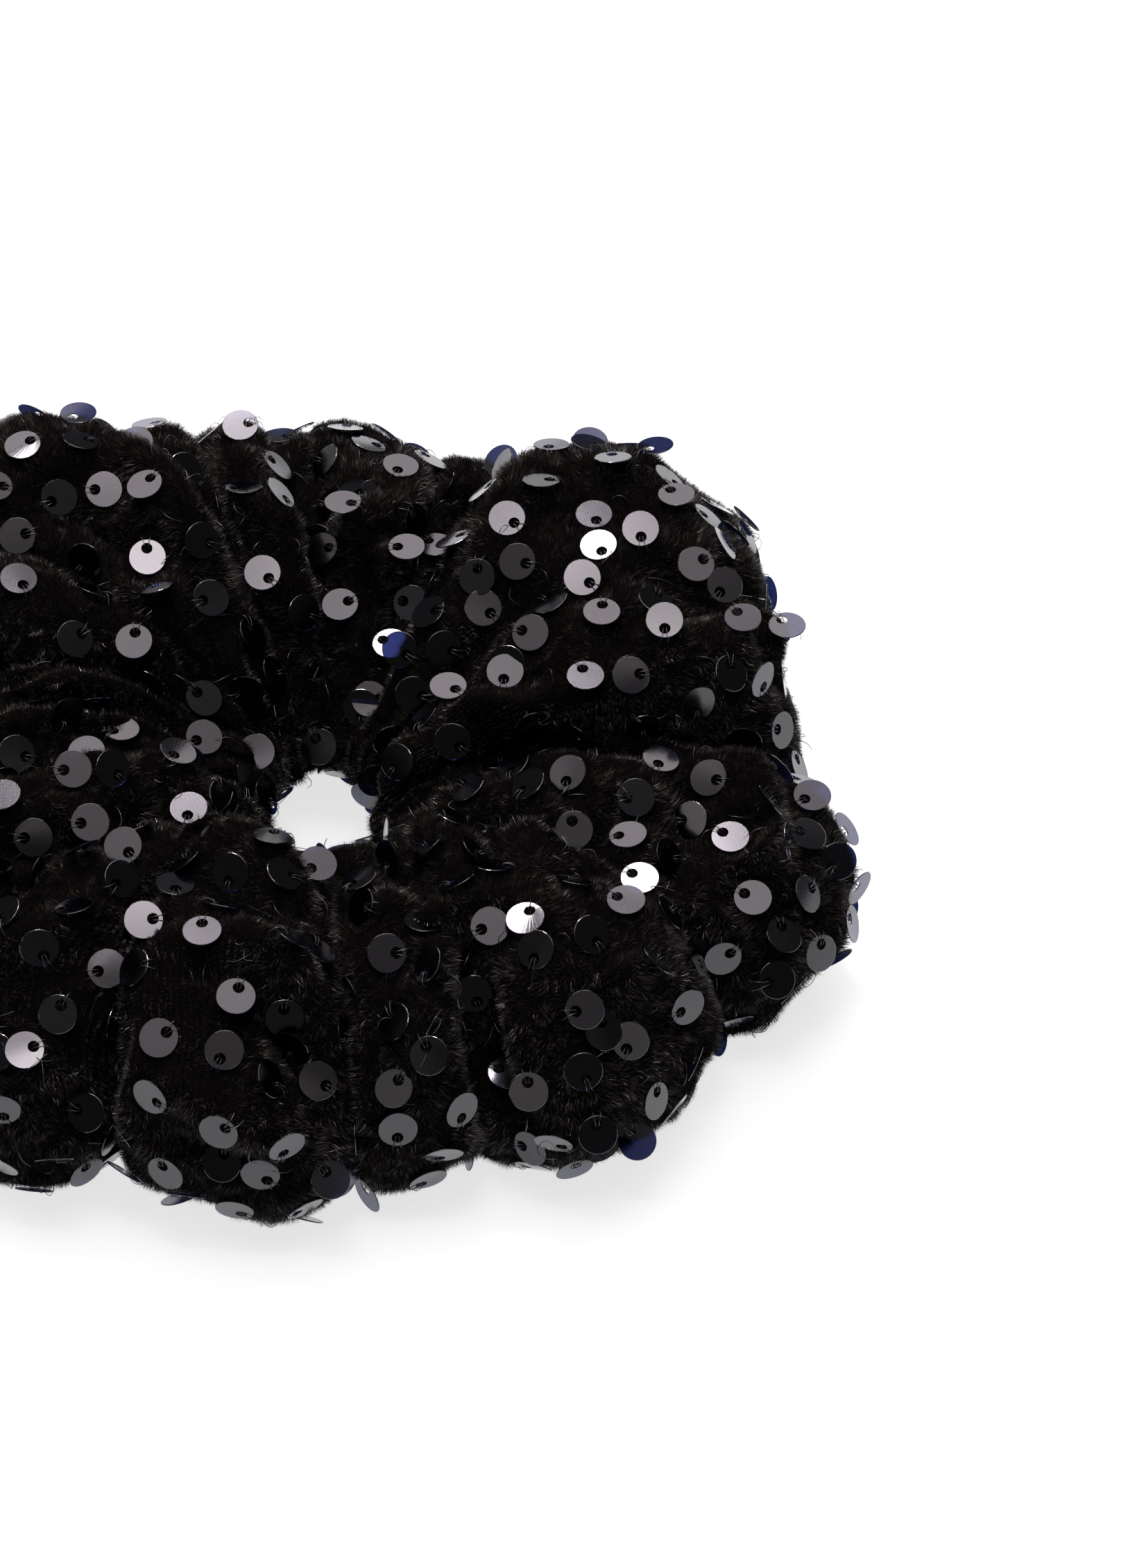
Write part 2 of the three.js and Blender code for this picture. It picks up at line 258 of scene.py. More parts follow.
def ring_stations():
    """Ring angles that crowd together towards the creases, an even number in each puff."""
    starts = np.append(PUFFS[:, 0], PUFFS[0, 0] + 360)
    counts = [2 * max(10, round(RING_COUNT * (b - a) / 720)) for a, b in zip(starts, starts[1:])]
    parts = []
    for start, end, count in zip(starts, starts[1:], counts):
        even = np.arange(count) / count
        crowded = (1 - np.cos(np.pi * even)) / 2
        parts.append(start + (end - start) * (0.35 * even + 0.65 * crowded))
    return np.concatenate(parts)


def grid_normals(grid):
    along = np.roll(grid, -1, 0) - np.roll(grid, 1, 0)
    around = np.roll(grid, -1, 1) - np.roll(grid, 1, 1)
    return unit(np.cross(unit(along), unit(around)))


def soften(field, rounds):
    """Averages a field on the grid with its neighbours, which wrap round both ways."""
    for _ in range(rounds):
        field = (
            field * 0.4
            + (np.roll(field, 1, 0) + np.roll(field, -1, 0)) * 0.15
            + (np.roll(field, 1, 1) + np.roll(field, -1, 1)) * 0.15
        )
    return field


def fold_line(rows, count=28):
    """Points along a fold, smoothed, and at each the direction across it."""
    rows = np.array(rows, float)
    rows[:, 0] = np.degrees(np.unwrap(np.radians(rows[:, 0])))
    at = np.linspace(0, len(rows) - 1, count)
    ring = np.interp(at, np.arange(len(rows)), rows[:, 0])
    tube = np.interp(at, np.arange(len(rows)), rows[:, 1])
    kernel = np.array([0.25, 0.5, 0.25])
    for _ in range(6):
        ring[1:-1] = np.convolve(ring, kernel, "valid")
        tube[1:-1] = np.convolve(tube, kernel, "valid")
    here = on_casing(ring, tube)
    runs_round_tube = abs(rows[-1, 1] - rows[0, 1]) > ROUND_TUBE
    beside = on_casing(ring + 1.0, tube) if runs_round_tube else on_casing(ring, tube + 2.0)
    return here, unit(beside - here)


def fold_height(points, fold):
    """How far one fold lifts each point. It fades at both ends and is a bell across."""
    height, low_width, high_width, rows = fold
    line, beside = fold_line(rows)
    reach = 3 * max(low_width, high_width)
    near = np.all((points > line.min(0) - reach) & (points < line.max(0) + reach), axis=1)
    picked = points[near]
    away = picked[:, None, :] - line[None, :, :]
    nearest = np.argmin((away**2).sum(2), axis=1)
    rows_at = np.arange(len(picked))
    distance = np.linalg.norm(away[rows_at, nearest], axis=1)
    side = (away[rows_at, nearest] * beside[nearest]).sum(1)
    width = np.where(side > 0, high_width, low_width)
    fade = np.sin(np.pi * (nearest + 0.5) / len(line)) ** 0.6
    lifted = np.zeros(len(points))
    lifted[near] = height * fade * np.exp(-((distance / width) ** 2))
    return lifted


WANDERING_FOLDS = 46


def wandering_folds(seed, count):
    """Folds like the listed ones for the sides that the listed ones leave out."""
    rng = np.random.default_rng(seed)
    folds = []
    for _ in range(count):
        ring = rng.uniform(0, 360)
        outer = rng.uniform(-70, 40)
        if ring > 180:
            outer = rng.uniform(-80, -25)
        turn = rng.uniform(-14, 14)
        length = rng.uniform(25, 70)
        rows = [(ring + turn * k / 3, outer + length * k / 3 - 20) for k in range(4)]
        height = rng.choice([-1, 1]) * rng.uniform(1.0, 2.8)
        folds.append((height, rng.uniform(2, 4), rng.uniform(2, 4), rows))
    return folds


def pleats(grid, puff_angle, tube_angle):
    """Fine gathers that run out from the opening and merge as they go."""
    off = np.abs(np.mod(tube_angle, 360) - 180)
    sway = 0.5 * waves(grid.reshape(-1, 3), 14, 31).reshape(grid.shape[:2])
    angle = np.radians(puff_angle)
    close = 0.34 * np.cos(37 * angle + 3.5 * sway) * np.exp(-(((off - 12) / 15) ** 2))
    wide = 0.7 * np.cos(17 * angle + 4.5 * sway) * np.exp(-(((off - 34) / 16) ** 2))
    return close + wide


CLOTH_UNITS = 0.02
CLOTH_FRAMES = 16
MOST_MOVED = 2.6


def cloth_wrinkles(grid):
    """Lets a coarse copy of the casing take up extra cloth, and returns how far each point moved."""
    coarse = grid[::2, ::2]
    rows, columns = coarse.shape[:2]
    faces = grid_faces(rows, columns)
    mesh = bpy.data.meshes.new("cloth_form")
    mesh.from_pydata((coarse.reshape(-1, 3) * CLOTH_UNITS).tolist(), [], faces.tolist())
    form = add_object("cloth_form", mesh)
    held = form.vertex_groups.new(name="held")
    tube = np.tile(np.arange(columns) * 360 / columns, rows)
    at_rim = np.clip(1.4 - np.abs(tube - 180) / 18, 0, 1)
    on_floor = 0.5 * (coarse.reshape(-1, 3)[:, 2] < 1.5)
    for index, weight in enumerate(np.maximum(at_rim, on_floor)):
        if weight > 0:
            held.add([index], float(weight), "REPLACE")
    cloth = form.modifiers.new("cloth", "CLOTH")
    settings = cloth.settings
    settings.quality = 5
    settings.mass = 0.25
    settings.tension_stiffness = 20
    settings.compression_stiffness = 20
    settings.shear_stiffness = 8
    settings.bending_stiffness = 0.35
    settings.vertex_group_mass = "held"
    settings.shrink_min = -0.09
    settings.use_pressure = True
    settings.uniform_pressure_force = 1.2
    settings.effector_weights.gravity = 0
    cloth.collision_settings.use_collision = False
    cloth.collision_settings.use_self_collision = False
    for number in range(1, CLOTH_FRAMES + 1):
        bpy.context.scene.frame_set(number)
    settled = form.evaluated_get(bpy.context.evaluated_depsgraph_get()).to_mesh()
    shift = mesh_points(settled).reshape(rows, columns, 3) / CLOTH_UNITS - coarse
    bpy.context.scene.frame_set(1)
    bpy.data.objects.remove(form)
    length = np.linalg.norm(shift, axis=2, keepdims=True)
    shift *= MOST_MOVED * np.tanh(length / MOST_MOVED) / np.maximum(length, 1e-9)
    fine = np.zeros_like(grid)
    fine[::2, ::2] = shift
    fine[1::2, ::2] = (shift + np.roll(shift, -1, 0)) / 2
    fine[:, 1::2] = (fine[:, ::2] + np.roll(fine[:, ::2], -1, 1)) / 2
    return fine


def grid_faces(rows, columns):
    """Quads over a grid that closes on itself both ways."""
    row, column = np.meshgrid(np.arange(rows), np.arange(columns), indexing="ij")
    down, right = (row + 1) % rows, (column + 1) % columns
    corners = [row * columns + column, down * columns + column, down * columns + right, row * columns + right]
    return np.stack([c.ravel() for c in corners], 1)


def sculpted_casing():
    """The outer face of the velvet as a grid, ring station by tube station."""
    stations = ring_stations()
    puff_angle, tube_angle = np.meshgrid(stations, np.arange(TUBE_COUNT) * 360 / TUBE_COUNT, indexing="ij")
    grid = casing_points(puff_angle, tube_angle)
    flat = grid.reshape(-1, 3)
    lift = np.zeros(len(flat))
    for fold in FOLDS + wandering_folds(12, WANDERING_FOLDS):
        lift += fold_height(flat, fold)
    on_floor = np.clip((flat[:, 2] - 0.6) / 4, 0, 1)
    lift += 0.5 * waves(flat, 13, 5) + 0.14 * waves(flat, 6, 6)
    normals = soften(grid_normals(soften(grid, 6)), 4)
    grid = grid + unit(normals) * (lift * on_floor).reshape(grid.shape[:2])[..., None]
    grid = soften(grid, 1)
    grid = grid + cloth_wrinkles(grid)
    grain = 0.05 * waves(grid.reshape(-1, 3), 3, 7).reshape(grid.shape[:2])
    fine = pleats(grid, puff_angle, tube_angle) + grain
    grid = grid + grid_normals(soften(grid, 3)) * fine[..., None]
    grid[..., 2] = np.maximum(grid[..., 2], FLOOR_CLEARANCE)
    return grid


# ---- meshes ----
def to_frame(points):
    return points * MM + MIDDLE


def node_points(name):
    """A CAD node's points, in millimetres round the ring's middle."""
    return (mesh_points(frame["nodes"][name].data) - MIDDLE) / MM


def make_mesh(name, points, faces, material, smooth=False):
    """An object from points in millimetres round the ring's middle and an array of faces."""
    mesh = bpy.data.meshes.new(name)
    corners = faces.shape[1]
    mesh.vertices.add(len(points))
    mesh.vertices.foreach_set("co", to_frame(points).astype(np.float32).ravel())
    mesh.loops.add(faces.size)
    mesh.loops.foreach_set("vertex_index", faces.astype(np.int32).ravel())
    mesh.polygons.add(len(faces))
    mesh.polygons.foreach_set("loop_start", np.arange(0, faces.size, corners, dtype=np.int32))
    mesh.polygons.foreach_set("use_smooth", np.full(len(faces), smooth))
    mesh.update(calc_edges=True)
    mesh.materials.append(material)
    return add_object(name, mesh)


def blend_halves(piece):
    """Bakes the piece's transform into its mesh. Nothing bends it between the two halves."""
    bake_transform(piece)
    return piece


# ---- materials ----
def plain_material(name, colour, roughness, **more):
    material = bpy.data.materials.new(name)
    material.use_nodes = True
    shader = material.node_tree.nodes["Principled BSDF"]
    shader.inputs["Base Color"].default_value = (*colour, 1)
    shader.inputs["Roughness"].default_value = roughness
    for socket, value in more.items():
        shader.inputs[socket.replace("_", " ")].default_value = value
    return material


def mottled_material(name, dark, light, roughness, scale, depth, gloss=0.2):
    """A colour and a fine relief from noise laid in the object's own space."""
    material = plain_material(name, dark, roughness, Specular_IOR_Level=gloss)
    nodes, links = material.node_tree.nodes, material.node_tree.links
    shader = nodes["Principled BSDF"]
    place = nodes.new("ShaderNodeTexCoord")
    noise = nodes.new("ShaderNodeTexNoise")
    noise.inputs["Scale"].default_value = scale
    noise.inputs["Detail"].default_value = 3
    ramp = nodes.new("ShaderNodeValToRGB")
    ramp.color_ramp.elements[0].color = (*dark, 1)
    ramp.color_ramp.elements[1].color = (*light, 1)
    bump = nodes.new("ShaderNodeBump")
    bump.inputs["Distance"].default_value = depth
    links.new(place.outputs["Object"], noise.inputs["Vector"])
    links.new(noise.outputs["Fac"], ramp.inputs["Fac"])
    links.new(ramp.outputs["Color"], shader.inputs["Base Color"])
    links.new(noise.outputs["Fac"], bump.inputs["Height"])
    links.new(bump.outputs["Normal"], shader.inputs["Normal"])
    return material


# ---- pile ----
ROW_SQUEEZE = 0.8
UNDERSIDE_HEIGHT = 1.2
UNDERSIDE_SHARE = 0.25


def casing_samples(grid, count, seed, rows_shown=None):
    """Random places on the casing, by area: points, normals, and the direction around the tube.

    The underside, which lies on the table, gets a quarter as many as its area would.
    rows_shown, from 0 to 1 at each grid point, draws the places together into the knit's rows.
    """
    rng = np.random.default_rng(seed)
    rows, columns = grid.shape[:2]
    a, b = grid, np.roll(grid, -1, 0)
    d, c = np.roll(grid, -1, 1), np.roll(b, -1, 1)
    area = np.linalg.norm(np.cross(c - a, d - b), axis=2).ravel() / 2
    area[(grid[..., 2] < UNDERSIDE_HEIGHT).ravel()] *= UNDERSIDE_SHARE
    chosen = rng.choice(rows * columns, count, p=area / area.sum())
    row, column = chosen // columns, chosen % columns
    s, t = rng.random((count, 1)), rng.random((count, 1))
    if rows_shown is not None:
        s = 0.5 + (s - 0.5) * (1 - ROW_SQUEEZE * rows_shown[row, column, None])

    def mixed(field):
        down, right = (row + 1) % rows, (column + 1) % columns
        near = field[row, column] * (1 - s) + field[down, column] * s
        far = field[row, right] * (1 - s) + field[down, right] * s
        return near * (1 - t) + far * t

    points = mixed(grid)
    normals = unit(mixed(grid_normals(grid)))
    around = np.roll(grid, -1, 1) - grid
    around = unit(mixed(around) - normals * (mixed(around) * normals).sum(1, keepdims=True))
    return points, normals, around, rng


# The pile is mixed from equal lots of fibres: shade, roughness and gloss.
PILE_LOTS = [
    (0.0020, 0.50, 0.12),
    (0.0040, 0.46, 0.18),
    (0.0080, 0.44, 0.24),
    (0.0150, 0.40, 0.36),
    (0.0280, 0.36, 0.60),
    (0.0500, 0.30, 1.00),
]
WARM_BLACK = np.array([1.0, 0.91, 0.82])
FIBRES = 1170000
FIBRE_TILT = 26
FIBRE_TILT_PATCHES = 12
FIBRE_TILT_SCATTER = 10
FIBRE_SPREAD = 0.18
FIBRE_LENGTH = (0.75, 1.25)
FIBRE_HALF_WIDTH = (0.028, 0.040)
SHORTER_IN_ROWS = 0.4
ROOT_DEPTH = 0.1
LEAST_FIBRE_HEIGHT = 0.06
PRESSED_DEPTH = 0.12
# Where the velvet is stretched so that the rows of its pile show: ring angle, tube angle, reach.
ROW_PATCHES = [(8, 120, 15), (24, 128, 11), (352, 140, 10), (244, 50, 13), (214, 60, 10), (150, 128, 10)]


def pile_rows(points):
    """How far the pile lies in separate rows at each point, from 0 to 1."""
    shown = np.zeros(points.shape[:-1])
    for ring_angle, tube_angle, reach in ROW_PATCHES:
        away = ((points - on_casing(ring_angle, tube_angle)) ** 2).sum(-1)
        shown = np.maximum(shown, np.exp(-away / reach**2))
    return shown


def press_pile(corners, seats):
    """Bends the fibres that would stand through a sequin down under it."""
    order = np.argsort(corners[:, 0, 0])
    along_x = corners[order, 0, 0]
    for middle, _, face in seats:
        first, last = np.searchsorted(along_x, [middle[0] - 3.4, middle[0] + 3.4])
        picked = order[first:last]
        base, tip = corners[picked, 0] - middle, corners[picked, 2] - middle
        base_height, tip_height = base @ face, tip @ face
        reach = np.linalg.norm(tip - tip_height[:, None] * face, axis=1)
        rooted_under = (base_height < 0.4) & (base_height > -3)
        through = (reach < SEQUIN_RADIUS + 0.1) & (tip_height > -PRESSED_DEPTH) & rooted_under
        down = (tip_height + PRESSED_DEPTH)[through]
        corners[picked[through], 2] -= down[:, None] * face
    return corners


def pile(grid, count, seats):
    """The velvet's fibres, each one thin triangle, in one piece for each lot."""
    points, normals, around, rng = casing_samples(grid, count, 77, pile_rows(grid))
    rows_here = pile_rows(points)
    sideways = np.cross(normals, around)
    comb = 1.1 * waves(points, 16, 41) + 0.8 * waves(points, 3.2, 42)
    nap = around * np.cos(comb)[:, None] + sideways * np.sin(comb)[:, None]
    patches = FIBRE_TILT_PATCHES * waves(points, 2.2, 43)
    tilt = np.radians(FIBRE_TILT + patches + rng.normal(0, FIBRE_TILT_SCATTER, count))[:, None]
    spread = unit(rng.normal(size=(count, 3)))
    direction = unit(normals * np.cos(tilt) - nap * np.sin(tilt) + FIBRE_SPREAD * spread)
    length = rng.uniform(*FIBRE_LENGTH, count) * (1 + 0.14 * waves(points, 2.8, 44))
    length = (length * (1 - SHORTER_IN_ROWS * rows_here))[:, None]
    across = unit(np.cross(direction, unit(rng.normal(size=(count, 3)))))
    half = rng.uniform(*FIBRE_HALF_WIDTH, (count, 1))
    base = points - normals * ROOT_DEPTH
    tips = base + direction * length
    corners = press_pile(np.stack([base - across * half, base + across * half, tips], 1), seats)
    corners[..., 2] = np.maximum(corners[..., 2], LEAST_FIBRE_HEIGHT)
    order = rng.permutation(count)
    for number, part in enumerate(np.array_split(order, len(PILE_LOTS))):
        shade, roughness, gloss = PILE_LOTS[number]
        material = plain_material(
            f"velvet_pile_{number + 1}",
            WARM_BLACK * shade,
            roughness,
            Specular_IOR_Level=gloss,
            Specular_Tint=(*(WARM_BLACK**0.4), 1),
        )
        faces = np.arange(len(part) * 3).reshape(-1, 3)
        piece = make_mesh(f"velvet_pile_{number + 1}", corners[part].reshape(-1, 3), faces, material)
        blend_halves(piece)


# ---- sequins ----
SEQUIN_RADIUS = 2.5
SEWING_SPACING = 6.2
SEAT_DEPTH = 0.75
SEAT_SPREAD = 4.5
SEAT_CLEARANCE = 0.45
SEQUIN_THICKNESS = 0.16
HOLE_RADIUS = 0.75
HOLE_OFFSET = 1.2
EDGE_ROUNDING = 0.07

# Further sequins, listed one by one: ring angle, tube angle and how light each lies.
EXTRA_SEQUINS = [
    (13, 108, "dark"), (4, 112, "dark"), (27, 79, "dark"), (19, 44, "mid"), (36, 111, "dark"),
    (49, 98, "light"), (55, 65, "mid"), (52, 40, "light"), (48, 38, "mid"), (64, 40, "mid"),
    (341, 20, "dark"), (323, 130, "light"), (303, 36, "dark"), (304, -8, "mid"), (304, 20, "dark"),
    (287, 87, "dark"), (289, 93, "mid"), (279, 32, "dark"), (206, 143, "light"), (238, 48, "dark"),
    (235, 57, "mid"), (267, 0, "light"), (249, 98, "dark"), (259, 108, "dark"), (210, 78, "dark"),
    (124, 71, "mid"), (121, 25, "mid"), (155, 150, "mid"), (160, 100, "mid"), (141, 72, "mid"),
    (130, 62, "white"), (129, 35, "mid"), (113, 55, "mid"), (113, 75, "light"), (112, 117, "white"),
    (86, 95, "light"), (81, 95, "mid"), (78, 87, "white"), (93, 52, "white"), (106, 60, "light"),
    (71, 50, "mid"), (71, 121, "light"), (62, 138, "dark"), (68, 147, "light"), (93, 163, "mid"),
]
TONE_FACINGS = {"white": (268, 104), "light": (265, 66), "mid": (268, 55), "dark": (268, 46)}


def sequin_form(sides):
    """A round film disc on z = 0 with an off-centre hole towards +X, its edge rounded over."""
    turn = np.arange(sides) * 2 * np.pi / sides
    circle = np.stack([np.cos(turn), np.sin(turn)], 1)
    half = SEQUIN_THICKNESS / 2
    hole = circle * HOLE_RADIUS + [HOLE_OFFSET, 0]
    outer, flat = circle * SEQUIN_RADIUS, circle * (SEQUIN_RADIUS - EDGE_ROUNDING)
    upper = [(hole, half), (flat, half), (outer, half * 0.3)]
    rings = upper + [(xy, -z) for xy, z in reversed(upper)]
    points = np.concatenate([np.column_stack([xy, np.full(sides, z)]) for xy, z in rings])
    step = np.arange(sides)
    after = (step + 1) % sides
    faces = []
    for ring in range(len(rings)):
        other = (ring + 1) % len(rings)
        corners = [ring * sides + step, other * sides + step, other * sides + after, ring * sides + after]
        faces.append(np.stack(corners, 1))
    return points, np.concatenate(faces)


RIM_REACH = 1.8
SEEN_FROM = np.array([0.0, -0.4, 0.9])


def cad_sequin(name):
    """Middle, hole direction and face direction of a CAD sequin, in millimetres round the ring's middle."""
    points = np.unique(np.round(node_points(name), 4), axis=0)
    rim = np.linalg.norm(points - points.mean(0), axis=1) > RIM_REACH
    middle = points[rim].mean(0)
    towards_hole = unit(points[~rim].mean(0) - middle)
    face = np.linalg.svd(points - points.mean(0))[2][2]
    face = unit(face - towards_hole * (face @ towards_hole))
    if face @ SEEN_FROM < 0:
        face = -face
    return middle, towards_hole, face


def placed(points, middle, towards_hole, face):
    """A sequin's own points, with X towards its hole and Z out of its face, moved to its seat."""
    return middle + points @ np.stack([towards_hole, np.cross(face, towards_hole), face])


def lay_under_sequins(grid, seats):
    """Draws the velvet up or down so that it passes just under each sequin's hole and clears its disc."""
    flat = grid.reshape(-1, 3).copy()
    for middle, towards_hole, face in seats:
        hole = middle + towards_hole * HOLE_OFFSET
        nearest = np.argmin(((flat - hole) ** 2).sum(1))
        shift = hole - face * SEAT_DEPTH - flat[nearest]
        near = ((flat - flat[nearest]) ** 2).sum(1)
        flat += np.exp(-near / SEAT_SPREAD**2)[:, None] * shift
    for middle, towards_hole, face in seats * 2:
        off = flat - middle
        height = off @ face
        across = np.linalg.norm(off - height[:, None] * face, axis=1)
        over = np.clip(height + SEAT_CLEARANCE, 0, None) * (height < 4)
        fade = np.clip(1 - (across - SEQUIN_RADIUS - 0.2) / 2.5, 0, 1)
        flat -= (over * fade * fade * (3 - 2 * fade))[:, None] * face
    return flat.reshape(grid.shape)


def velvet_tree(grid):
    rows, columns = grid.shape[:2]
    return BVHTree.FromPolygons(grid.reshape(-1, 3).tolist(), grid_faces(rows, columns).tolist())


def least_clearance(tree, points):
    """How far outside the velvet the worst of the points is; negative when it is inside."""
    least = 9.0
    for point in points.tolist():
        place, normal, _, distance = tree.find_nearest(point)
        outside = (Vector(point) - place).dot(normal)
        least = min(least, distance if outside > 0 else -distance)
    return least


RIM_TURNS = np.arange(10) * 2 * np.pi / 10
RIM_POINTS = np.column_stack([np.cos(RIM_TURNS), np.sin(RIM_TURNS), 0 * RIM_TURNS]) * SEQUIN_RADIUS


def facing(compass, elevation):
    """The direction at a compass angle, anticlockwise from +X, and an angle up from level."""
    a, e = math.radians(compass), math.radians(elevation)
    return np.array([math.cos(e) * math.cos(a), math.cos(e) * math.sin(a), math.sin(e)])


# How a sequin is tried on the velvet: how far its face wanders from the direction meant for it, at the
# first try and by how much more at the last, and the clearances that are enough and too little.
FIRST_WANDER = 0.36
MORE_WANDER = 0.4
WANDER_WHEN_AIMED = 0.35
LEAST_OUTWARD = 0.15
HOLE_UPHILL = 0.1
SEWING_HEIGHT = 0.55
CLEAR = 0.1
TOO_DEEP = -0.7
RAISED_CLEARANCE = 0.13
MOST_RAISED = 0.9


def seat_on_velvet(tree, place, normal, wanted, rng, tries=16):
    """A seat for a sequin sewn at place: the first try that clears the velvet, else the best one, raised.

    It tries faces near the wanted one, or near the velvet's normal. None if every try lies too deep.
    """
    best, best_clearance = None, -9.0
    centre, wander = (normal, 1.0) if wanted is None else (wanted, WANDER_WHEN_AIMED)
    for number in range(tries):
        loose = FIRST_WANDER + MORE_WANDER * number / tries
        face = unit(centre + loose * wander * rng.normal(size=3))
        if face @ normal < LEAST_OUTWARD:
            continue
        towards_hole = unit(np.cross(face, rng.normal(size=3)))
        if towards_hole @ normal > HOLE_UPHILL:
            towards_hole = -towards_hole
        middle = place + normal * SEWING_HEIGHT - towards_hole * HOLE_OFFSET
        clearance = least_clearance(tree, placed(RIM_POINTS, middle, towards_hole, face))
        if clearance > CLEAR:
            return middle, towards_hole, face
        if clearance > best_clearance:
            best, best_clearance = (middle, towards_hole, face), clearance
    if best is None or best_clearance < TOO_DEEP:
        return None
    middle, towards_hole, face = best
    return middle + face * min(MOST_RAISED, RAISED_CLEARANCE - best_clearance), towards_hole, face


def lifted(middle, towards_hole, face):
    """The same seat, raised if it would reach into the floor."""
    lowest = placed(RIM_POINTS, middle, towards_hole, face)[:, 2].min()
    return middle + np.array([0, 0, max(0, SEQUIN_THICKNESS - lowest)]), towards_hole, face


SEWING_TRIES = 60000
LOWEST_SEWN = 1.4


def scattered_sequins(grid, tree, seats):
    """The listed sequins, then more all over the casing, each the sewing spacing from the others."""
    points, normals, _, rng = casing_samples(grid, SEWING_TRIES, 5)
    taken = np.array([middle + towards * HOLE_OFFSET for middle, towards, _ in seats])
    made = []
    for ring_angle, tube_angle, tone in EXTRA_SEQUINS:
        target = on_casing(ring_angle, tube_angle)
        nearest = np.argmin(((points - target) ** 2).sum(1))
        seat = seat_on_velvet(tree, points[nearest], normals[nearest], facing(*TONE_FACINGS[tone]), rng)
        if seat is not None:
            made.append(seat)
            taken = np.vstack([taken, points[nearest]])
    for point, normal in zip(points, normals):
        if point[2] < LOWEST_SEWN or np.min(((taken - point) ** 2).sum(1)) < SEWING_SPACING**2:
            continue
        seat = seat_on_velvet(tree, point, normal, None, rng)
        taken = np.vstack([taken, point])
        if seat is not None:
            made.append(seat)
    return [lifted(*seat) for seat in made]


def sequin_pieces(seats):
    """The scattered sequins, joined by quarter of the ring."""
    form, faces = sequin_form(26)
    middles = np.array([seat[0] for seat in seats])
    quarter = (np.arctan2(middles[:, 1], middles[:, 0]) // (np.pi / 2) + 2).astype(int)
    rng = np.random.default_rng(8)
    for number, name in enumerate(["front_left", "front_right", "back_right", "back_left"]):
        chosen = [seats[k] for k in np.flatnonzero(quarter == number)]
        points = []
        for middle, towards_hole, face in chosen:
            bend = rng.normal(0, 0.008)
            bent = form + np.outer(bend * form[:, 1] ** 2, [0, 0, 1])
            points.append(placed(bent, middle, towards_hole, face))
        all_faces = np.concatenate([faces + k * len(form) for k in range(len(chosen))])
        piece = make_mesh("sequins_" + name, np.concatenate(points), all_faces, film)
        blend_halves(piece)


# ---- threads ----
THREAD_RADIUS = 0.05
THREAD_SIDES = 4
LOOSE_FLOATS = 520


def strand_mesh(paths, radius, sides=THREAD_SIDES):
    """Thin round strands through lists of points, all with the same number of points."""
    paths = np.asarray(paths)
    count, steps = paths.shape[:2]
    ahead = unit(np.gradient(paths, axis=1))
    side = unit(np.cross(ahead, np.array([0.31, 0.52, 0.79])))
    other = np.cross(ahead, side)
    turn = np.arange(sides) * 2 * np.pi / sides
    ring = side[:, :, None] * np.cos(turn)[:, None] + other[:, :, None] * np.sin(turn)[:, None]
    points = paths[:, :, None] + ring * radius
    index = np.arange(count * steps * sides).reshape(count, steps, sides)
    here, after = index[:, :-1], index[:, 1:]
    faces = np.stack([here, np.roll(here, -1, 2), np.roll(after, -1, 2), after], -1).reshape(-1, 4)
    return points.reshape(-1, 3), faces


def thread_piece(name, paths):
    points, faces = strand_mesh(paths, THREAD_RADIUS)
    return make_mesh(name, points, faces, monofilament, smooth=True)


def smooth_path(corners, steps):
    """A curve through the corners, by cubic interpolation."""
    corners = np.asarray(corners)
    padded = np.concatenate([2 * corners[:1] - corners[1:2], corners, 2 * corners[-1:] - corners[-2:-1]])
    at = np.linspace(0, len(corners) - 1, steps)
    index = np.minimum(at.astype(int), len(corners) - 2)
    t = (at - index)[:, None]
    a, b, c, d = (padded[index + k] for k in range(4))
    return 0.5 * (2 * b + (c - a) * t + (2 * a - 5 * b + 4 * c - d) * t**2 + (3 * b - a - 3 * c + d) * t**3)


def above_floor(paths):
    """The paths, with whatever of them lies in the table raised to lie on it."""
    paths[..., 2] = np.maximum(paths[..., 2], 2 * THREAD_RADIUS)
    return paths


def thread_paths(seats):
    """Two strands for each sequin: up through its hole, over the near edge and down into the velvet."""
    rng = np.random.default_rng(19)
    paths, owners = [], []
    for number, (middle, towards_hole, face) in enumerate(seats):
        across = np.cross(face, towards_hole)
        for side in (-1, 1):
            drift = side * rng.uniform(0.1, 0.45)
            crown = rng.uniform(0.2, 0.45)
            end = rng.uniform(3.0, 3.4)
            corners = [
                middle + towards_hole * 1.1 + across * 0.15 * side - face * 1.0,
                middle + towards_hole * 1.15 + across * 0.2 * side + face * 0.12,
                middle + towards_hole * 2.0 + across * (0.2 * side + 0.4 * drift) + face * crown,
                middle + towards_hole * 2.75 + across * (0.25 * side + drift) + face * 0.12,
                middle + towards_hole * end + across * (0.3 * side + 1.3 * drift) - face * 0.9,
            ]
            paths.append(smooth_path(corners, 10))
            owners.append(number)
    return above_floor(np.array(paths)), np.array(owners)


